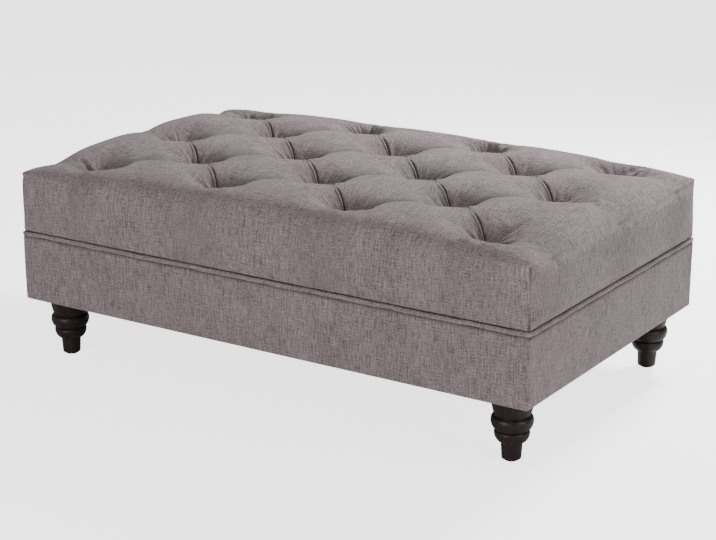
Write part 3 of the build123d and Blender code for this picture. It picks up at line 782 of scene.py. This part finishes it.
# %% Wadding wrap
wadding_low, wadding_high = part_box("band_wadding")
wadding_thickness, wadding_corner, lump_depth = 0.0050, 0.009, 0.00012
wrap_count, wrap_rows = 900, 12
wrap_place, wrap_out, wrap_way = box_path(wadding_high.x, wadding_high.y, wadding_corner, wrap_count)
wrap_share = np.linspace(0, 1, wrap_rows)
lump_in = lump_depth * (3 + ripples(wrap_way[:, None] / wrap_way[-1], (17, 31, 53), 5 * wrap_share))
wrap_z = np.broadcast_to(wadding_low.z + (wadding_high.z - wadding_low.z) * wrap_share, lump_in.shape)
wrap_points = np.dstack([wrap_place[:, None] - wrap_out[:, None] * lump_in[..., None], wrap_z])
wrap_faces = grid_faces(wrap_count, wrap_rows, closed=True)[:, ::-1]
wrap = add_piece("band_wadding_wrap", wrap_points, wrap_faces, "wadding")
thicken(wrap, wadding_thickness)
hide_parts("band_wadding")

# %% Dust sheet
cloth_low, cloth_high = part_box("dust_sheet")
columns, rows = 141, 85
sheet_sag, sheet_thickness, sheet_lift = 0.004, 0.0006, 0.0002
flat_edge, sag_reach, flat_by_leg, leg_reach = 0.020, 0.12, 0.045, 0.06
wave_along, wave_across, slant_along, slant_across, pucker_share = 58, 44, 31, 52, 0.25
sheet_x, sheet_y = np.meshgrid(
    np.linspace(cloth_low.x, cloth_high.x, columns), np.linspace(cloth_low.y, cloth_high.y, rows),
    indexing="ij",
)
inside = np.minimum(cloth_high.x - np.abs(sheet_x), cloth_high.y - np.abs(sheet_y))
loose = ramp(inside, flat_edge, sag_reach)
loose = loose**2 * (3 - 2 * loose)
leg_x, leg_y = (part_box("front_right_leg")[0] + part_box("front_right_leg")[1]).xy / 2
to_leg = np.hypot(np.abs(sheet_x) - leg_x, np.abs(sheet_y) - abs(leg_y))
loose = loose * ramp(to_leg, flat_by_leg, leg_reach)
puckers = np.cos(wave_along * sheet_x) * np.cos(wave_across * sheet_y + 1.1)
puckers += 0.6 * np.cos(slant_along * sheet_x - slant_across * sheet_y)
sheet_z = cloth_low.z + sheet_lift - sheet_sag * loose * (1 + pucker_share * puckers)
sheet_points = np.dstack([sheet_x, sheet_y, sheet_z])
dust_cloth = add_piece("dust_cover_cloth", sheet_points, grid_faces(columns, rows), "dust_sheet_cloth")
thicken(dust_cloth, sheet_thickness)
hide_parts("dust_sheet")

# %% [markdown]
# ## The legs
# Each leg is turned on a lathe: a short peg at the foot, two round beads and a cup under the frame. A lathe
# shape is one outline spun round an axis, so the outline is a list of arcs, and the arrays spin it.

# %% Outline of a leg
leg_height, glide_height = 0.130, 0.003
foot_radius, foot_bend, peg_radius = 0.0186, 0.0025, 0.0206
peg_top, low_neck, high_neck = 0.0370, 0.0610, 0.0900
above_peg_radius, low_neck_radius, high_neck_radius, cup_radius = 0.0215, 0.0300, 0.0340, 0.0410
low_swell, low_lift, high_swell, high_lift, groove = 0.0068, 0.46, 0.0078, 0.54, 0.0006


def bead(bottom, top, radius_below, radius_above, swell, lift, count=20):
    """Radius and height of a bead between two heights: a line from the radius below to the radius above,
    plus a swell that follows half an ellipse. The lift is the share of the height at which it is widest."""
    turn = np.linspace(0, np.pi, count)
    share = ((1 - np.cos(turn)) / 2) ** (np.log(lift) / np.log(0.5))
    radius = radius_below + (radius_above - radius_below) * share + swell * np.sin(turn)
    return radius, bottom + (top - bottom) * share


foot_turn = np.linspace(0, np.pi / 2, 7)
low_bead = bead(peg_top, low_neck - groove, above_peg_radius, low_neck_radius, low_swell, low_lift)
high_bead = bead(low_neck, high_neck - groove, low_neck_radius, high_neck_radius, high_swell, high_lift)
cup_share = np.linspace(0, 1, 20)
cup_flare = np.sin(cup_share * np.pi / 2) ** 0.9
leg_radius = np.concatenate([
    [0, 0.008, foot_radius - foot_bend],
    foot_radius - foot_bend * (1 - np.sin(foot_turn)),
    [peg_radius - 0.0004, peg_radius],
    low_bead[0],
    high_bead[0],
    high_neck_radius + (cup_radius - high_neck_radius) * cup_flare,
    [cup_radius - 0.0002, 0.030, 0],
])
leg_level = np.concatenate([
    [glide_height] * 3,
    glide_height + foot_bend * (1 - np.cos(foot_turn)),
    [peg_top - 0.006, peg_top - groove],
    low_bead[1],
    high_bead[1],
    high_neck + (leg_height - 0.001 - high_neck) * cup_share,
    [leg_height] * 3,
])
print("leg outline", len(leg_radius), "points, widest", round(float(leg_radius.max()), 4))

# %% Legs
around_leg = 72
spin = np.linspace(0, 2 * np.pi, around_leg, endpoint=False)
leg_faces = grid_faces(len(leg_radius) - 2, around_leg, around=True).tolist()
bottom_pole = (len(leg_radius) - 2) * around_leg
for step in range(around_leg):
    after = (step + 1) % around_leg
    top_step, top_after = bottom_pole - around_leg + step, bottom_pole - around_leg + after
    leg_faces += [[bottom_pole, after, step], [bottom_pole + 1, top_step, top_after]]
for corner in ("front_left", "front_right", "back_left", "back_right"):
    leg_low, leg_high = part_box(f"{corner}_leg")
    middle = (leg_low + leg_high) / 2
    x = middle.x + leg_radius[1:-1, None] * np.cos(spin)
    y = middle.y + leg_radius[1:-1, None] * np.sin(spin)
    rings = np.dstack([x, y, np.broadcast_to(leg_level[1:-1, None], x.shape)]).reshape(-1, 3)
    poles = [(middle.x, middle.y, leg_level[0]), (middle.x, middle.y, leg_level[-1])]
    leg = add_piece(f"{corner}_turned_leg", np.concatenate([rings, poles]), leg_faces, "leg_wood")
    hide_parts(f"{corner}_leg")


# %% [markdown]
# ## Finishes from shared groups
# Each finish is a Principled BSDF whose colour and bump come from node groups. A photograph of cloth would
# be quicker, but it repeats and blurs close up. Groups of noise and waves stay sharp at any distance, and
# one group serves many finishes with other values. Numbers that don't change are set on the shader itself.


# %% Helpers for node groups
def new_group(name, inputs, outputs):
    """A shader group with named sockets. Inputs have a name and a start value, one number or three for a
    vector, and outputs are the names of numbers. Gives the group and its two ends."""
    group = bpy.data.node_groups.new(name, "ShaderNodeTree")
    for socket, value in inputs.items():
        kind = "NodeSocketVector" if hasattr(value, "__len__") else "NodeSocketFloat"
        made = group.interface.new_socket(name=socket, in_out="INPUT", socket_type=kind)
        made.default_value = value
    for socket in outputs:
        group.interface.new_socket(name=socket, in_out="OUTPUT", socket_type="NodeSocketFloat")
    return group, group.nodes.new("NodeGroupInput"), group.nodes.new("NodeGroupOutput")


def vector(tree, operation, *parts):
    """A step on one or two vectors, such as a product part by part or the direction of a vector."""
    return add_node(tree, "ShaderNodeVectorMath", enumerate(parts), operation=operation).outputs[0]


def spread(tree, value, low, high):
    """Stretches the part of a noise between two values over zero to one."""
    links = {"Value": value, "From Min": low, "From Max": high}
    return add_node(tree, "ShaderNodeMapRange", links).outputs[0]


def stretched_noise(tree, place, scale, detail=2.0, roughness=0.5):
    """Noise on a place that is first scaled along each axis, so that a small scale draws it out."""
    scaled = vector(tree, "MULTIPLY", place, scale)
    links = {"Vector": scaled, "Scale": 1.0, "Detail": detail, "Roughness": roughness}
    return add_node(tree, "ShaderNodeTexNoise", links).outputs[0]


# %% Woven cloth group
fine_share, long_share = 0.72, 0.28
slub_share, heather_share, cloud_share, thread_relief = 0.56, 0.34, 0.10, 0.22
yarns = (
    ((560, 40, 1), 2.0, 0.5), ((300, 13, 1), 1.0, 0.5), ((40, 560, 1), 2.0, 0.5), ((300, 300, 1), 3.0, 0.7)
)
woven, woven_in, woven_out = new_group(
    "woven_cloth", {"Cloth": (0, 0, 0), "Upright": 1.0, "Thread": 0.0016}, ["Lightness", "Height"]
)
cloth_place, upright, thread = (woven_in.outputs[name] for name in ("Cloth", "Upright", "Thread"))
fine_slub, long_slub, cross_slub, heather = (
    spread(woven, stretched_noise(woven, cloth_place, *yarn), 0.34, 0.66) for yarn in yarns
)
cloud = spread(woven, stretched_noise(woven, cloth_place, (14, 9, 1)), 0.25, 0.75)
along = math(woven, "MULTIPLY_ADD", fine_slub, fine_share, math(woven, "MULTIPLY", long_slub, long_share))
one_way = math(woven, "MULTIPLY_ADD", upright, 0.15, 0.50)
slubs = add_node(woven, "ShaderNodeMix", {0: one_way, 2: cross_slub, 3: along}).outputs[0]
lightness = math(woven, "MULTIPLY", slubs, slub_share)
for mottle, share in ((heather, heather_share), (cloud, cloud_share)):
    lightness = math(woven, "MULTIPLY_ADD", mottle, share, lightness)
lightness = spread(woven, lightness, 0.24, 0.76)

parts = add_node(woven, "ShaderNodeSeparateXYZ", {0: cloth_place})
crossing = (math(woven, "DIVIDE", parts.outputs[axis], thread) for axis in (0, 1))
waves = [math(woven, "SINE", math(woven, "MULTIPLY", threads, np.pi)) for threads in crossing]
height = math(woven, "MULTIPLY_ADD", math(woven, "MULTIPLY", *waves), thread_relief, lightness)
feed(woven_out, {"Lightness": lightness, "Height": height})

# %% [markdown]
# The cloth round a button gathers into fine folds that point at it. They are too fine for the surface's
# points, so they are bump: noise that is drawn out along the direction from the button, which every point
# carries as an attribute.

# %% Fan folds group
rays_round, rays_onward = 8.5, 14.0
fans, fans_in, fans_out = new_group("fan_folds", {"From": (0, 0, 0), "Place": (0, 0, 0)}, ["Height"])
fan_share = add_node(fans, "ShaderNodeSeparateXYZ", {0: fans_in.outputs["From"]}).outputs[2]
away = vector(fans, "MULTIPLY", fans_in.outputs["From"], (1, 1, 0))
distance = add_node(fans, "ShaderNodeVectorMath", {0: away}, operation="LENGTH").outputs["Value"]
heading = vector(fans, "MULTIPLY", vector(fans, "NORMALIZE", away), (rays_round, rays_round, 0))
onward = add_node(fans, "ShaderNodeCombineXYZ", {2: math(fans, "MULTIPLY", distance, rays_onward)})
ray = vector(fans, "ADD", heading, onward.outputs[0])
rays = spread(fans, stretched_noise(fans, ray, (1, 1, 1), 1.0), 0.30, 0.70)
begins = spread(fans, distance, 0.008, 0.028)
here = spread(fans, stretched_noise(fans, fans_in.outputs["Place"], (11, 13, 1), 1.0), 0.42, 0.58)
strength = math(fans, "MULTIPLY", math(fans, "MULTIPLY", begins, fan_share), here)
feed(fans_out, {"Height": math(fans, "MULTIPLY", rays, strength)})

# %% [markdown]
# Wood is noise drawn out along the grain, with growth rings as a sine of that noise. Foam, wadding, twine,
# plastic and metal share a speckle at two sizes, coarse for the colour and fine for the bump.

# %% Grain and speckle groups
growth_rings = 38.0
grain, grain_in, grain_out = new_group(
    "wood_grain", {"Place": (0, 0, 0), "Stretch": (3, 60, 60), "Rings": 0.5}, ["Tone", "Pores"]
)
drawn = vector(grain, "MULTIPLY", grain_in.outputs["Place"], grain_in.outputs["Stretch"])
warp = stretched_noise(grain, drawn, (1, 1, 1), 4.0, 0.55)
rings = math(grain, "SINE", math(grain, "MULTIPLY", warp, growth_rings))
ring_share = math(grain, "MULTIPLY", grain_in.outputs["Rings"], 0.5)
tone = math(grain, "MULTIPLY_ADD", rings, ring_share, warp)
pores = spread(grain, stretched_noise(grain, drawn, (5, 9, 9)), 0.36, 0.60)
feed(grain_out, {"Tone": tone, "Pores": pores})

speckle, speckle_in, speckle_out = new_group(
    "speckle", {"Place": (0, 0, 0), "Size": 0.002}, ["Coarse", "Fine"]
)
sized = add_node(speckle, "ShaderNodeVectorMath", {0: speckle_in.outputs["Place"]}, operation="SCALE")
feed(sized, {"Scale": math(speckle, "DIVIDE", 1.0, speckle_in.outputs["Size"])})
for name, scale, detail in (("Coarse", (0.2, 0.2, 0.2), 3.0), ("Fine", (1, 1, 1), 2.0)):
    feed(speckle_out, {name: stretched_noise(speckle, sized.outputs[0], scale, detail)})
print("groups", woven.name, fans.name, grain.name, speckle.name)


# %% Helper for a finish
def new_finish(name, group, values, dark, light, roughness, bump, constants=(), uv_map=None):
    """A material with one group, placed by Object coordinates or by a UV map of the piece. The group's
    first output runs the base colour from dark to light, and its second feeds a bump of a depth in metres.
    Constants are set on the shader's own sockets. Gives the material and the group's node."""
    finish = bpy.data.materials.new(name)
    finish.use_nodes = True
    tree = finish.node_tree
    if uv_map:
        place = add_node(tree, "ShaderNodeUVMap", uv_map=uv_map).outputs[0]
    else:
        place = add_node(tree, "ShaderNodeTexCoord").outputs["Object"]
    pattern = add_node(tree, "ShaderNodeGroup", node_tree=group)
    feed(pattern, {0: place} | values)
    tones = {0: pattern.outputs[0], 6: (*dark, 1), 7: (*light, 1)}
    colour = add_node(tree, "ShaderNodeMix", tones, data_type="RGBA").outputs[2]
    normal = add_node(tree, "ShaderNodeBump", {"Height": pattern.outputs[1], "Distance": bump}).outputs[0]
    look = {"Base Color": colour, "Normal": normal, "Roughness": roughness}
    feed(tree.nodes["Principled BSDF"], look | dict(constants))
    return finish, pattern


# %% [markdown]
# ## The cover cloth
# The cloth is a grey-taupe weave of uneven yarns. Slubs, the thick places in a yarn, show as streaks that
# run down every upright face, with shorter ones across them, and the fibres are mottled light and dark. The
# streaks follow the cloth's own coordinates. An attribute tells the material which way is down. A deep fold
# is narrower than a lamp's light can fill, so a second attribute, stored with the folds themselves, darkens
# the cloth there.

# %% Helpers for folds and the shade painted in them
# The dark colour of the painted shade, the most of it, and the height of the fans' bump.
painted_shade_colour, most_painted_shade, fan_height = (0.018, 0.014, 0.014), 0.9, 2.6


def read_values(tree, name, output="Fac"):
    """What a piece's points carry under a name."""
    return add_node(tree, "ShaderNodeAttribute", attribute_name=name).outputs[output]


def paint_fold_shade(finish):
    """Paints shade: mixes the finish's colour towards the dark of a deep fold, by the values stored as
    fold.
    """
    tree = finish.node_tree
    shader = tree.nodes["Principled BSDF"]
    share = math(tree, "MULTIPLY", read_values(tree, "fold"), most_painted_shade)
    tones = {0: share, 6: shader.inputs["Base Color"].links[0].from_socket, 7: (*painted_shade_colour, 1)}
    feed(shader, {"Base Color": add_node(tree, "ShaderNodeMix", tones, data_type="RGBA").outputs[2]})


def raise_fans(finish, pattern):
    """Adds the fine folds round the buttons to the height of the finish's bump."""
    tree = finish.node_tree
    fan = add_node(tree, "ShaderNodeGroup", node_tree=fans)
    place = add_node(tree, "ShaderNodeTexCoord").outputs["Object"]
    feed(fan, {"From": read_values(tree, "from_button", "Vector"), "Place": place})
    bump = next(node for node in tree.nodes if node.bl_idname == "ShaderNodeBump")
    both = math(tree, "MULTIPLY_ADD", fan.outputs["Height"], fan_height, pattern.outputs["Height"])
    feed(bump, {"Height": both})


# %% Cloth finishes
taupe = (0.104, 0.081, 0.083), (0.366, 0.293, 0.300)
cloth_look = {"Sheen Weight": 0.2, "Sheen Roughness": 0.4, "Specular IOR Level": 0.15}
(cover_cloth, cover_pattern), (welt_cloth, _), (button_cloth, _) = (
    new_finish(name, woven, {"Upright": upright}, *taupe, 0.92, bump, cloth_look, uv_map)
    for name, upright, bump, uv_map in (
        ("cover_cloth", 1.0, 0.0011, "cloth"), ("welt_cloth", -0.5, 0.0008, "cloth"),
        ("button_cloth", 0.0, 0.0008, None),
    )
)
feed(cover_pattern, {"Upright": read_values(cover_cloth.node_tree, "upright")})
# The cover and the piping get painted shade where the values stored as fold say; the cover also gets the
# fans.
paint_fold_shade(cover_cloth)
raise_fans(cover_cloth, cover_pattern)
paint_fold_shade(welt_cloth)
print("cloths", cover_cloth.name, welt_cloth.name, button_cloth.name)

# %% [markdown]
# ## The other finishes
# The legs are stained nearly black, with a satin lacquer that lets a little brown grain through. What the
# covers hide is plain workshop stock: pine, plywood, foam, wadding, board, twine, plastic and zinc-plated
# steel. A flat colour would do where nobody looks, but the underside shows, and each one costs only a line.

# %% Leg finish
leg_wood, _ = new_finish(
    "espresso_wood", grain, {"Stretch": (38, 38, 7), "Rings": 0.35},
    (0.0060, 0.0034, 0.0034), (0.026, 0.0145, 0.0130), 0.42, 0.00010, {"Specular IOR Level": 0.25},
)

# %% Plain finishes
# Each row holds the group and its values, the dark and the light tone, the roughness and the bump.
metal = {"Metallic": 1.0}
plain = {
    "frame_timber": (
        grain, {"Stretch": (2.5, 30, 45), "Rings": 0.5},
        (0.40, 0.25, 0.12), (0.66, 0.48, 0.28), 0.68, 0.0003,
    ),
    "deck_plywood": (
        grain, {"Stretch": (2.5, 18, 160), "Rings": 0.5},
        (0.46, 0.32, 0.18), (0.68, 0.53, 0.34), 0.68, 0.0003,
    ),
    "wadding": (speckle, {"Size": 0.004}, (0.78, 0.78, 0.75), (0.92, 0.92, 0.90), 0.95, 0.0015),
    "foam": (speckle, {"Size": 0.0016}, (0.72, 0.64, 0.38), (0.86, 0.80, 0.55), 0.9, 0.0006),
    "cord": (speckle, {"Size": 0.0012}, (0.55, 0.50, 0.40), (0.76, 0.70, 0.58), 0.9, 0.0004),
    "twine": (speckle, {"Size": 0.0006}, (0.62, 0.55, 0.42), (0.82, 0.76, 0.62), 0.7, 0.0002),
    "toggle_plastic": (speckle, {"Size": 0.0010}, (0.62, 0.62, 0.58), (0.70, 0.70, 0.67), 0.45, 0.00005),
    "tack_strip_board": (speckle, {"Size": 0.0014}, (0.36, 0.25, 0.14), (0.52, 0.39, 0.25), 0.9, 0.0003),
    "dust_sheet_cloth": (speckle, {"Size": 0.0012}, [0.004] * 3, [0.022] * 3, 0.85, 0.0003),
    "glide_plastic": (speckle, {"Size": 0.0008}, [0.007] * 3, [0.016] * 3, 0.5, 0.00005),
    "zinc_steel": (speckle, {"Size": 0.0006}, (0.46, 0.47, 0.48), (0.66, 0.66, 0.64), 0.32, 0.00003, metal),
    "staple_steel": (speckle, {"Size": 0.0004}, [0.42] * 3, [0.60] * 3, 0.38, 0.00002, metal),
}
finishes = {slot: new_finish(slot, *look)[0] for slot, look in plain.items()}
finishes |= {"cover_fabric": cover_cloth, "welt_fabric": welt_cloth, "button_fabric": button_cloth}
finishes["leg_wood"] = leg_wood

# %% Finishes on every piece
node_slots = {part["node"]: part["material_slot"] for part in frame["record"]["subparts"]}
for piece in bpy.data.objects:
    slot_name = node_slots.get(piece.name, piece.get("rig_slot"))
    if piece.type == "MESH" and slot_name in finishes:
        piece.data.materials.clear()
        piece.data.materials.append(finishes[slot_name])
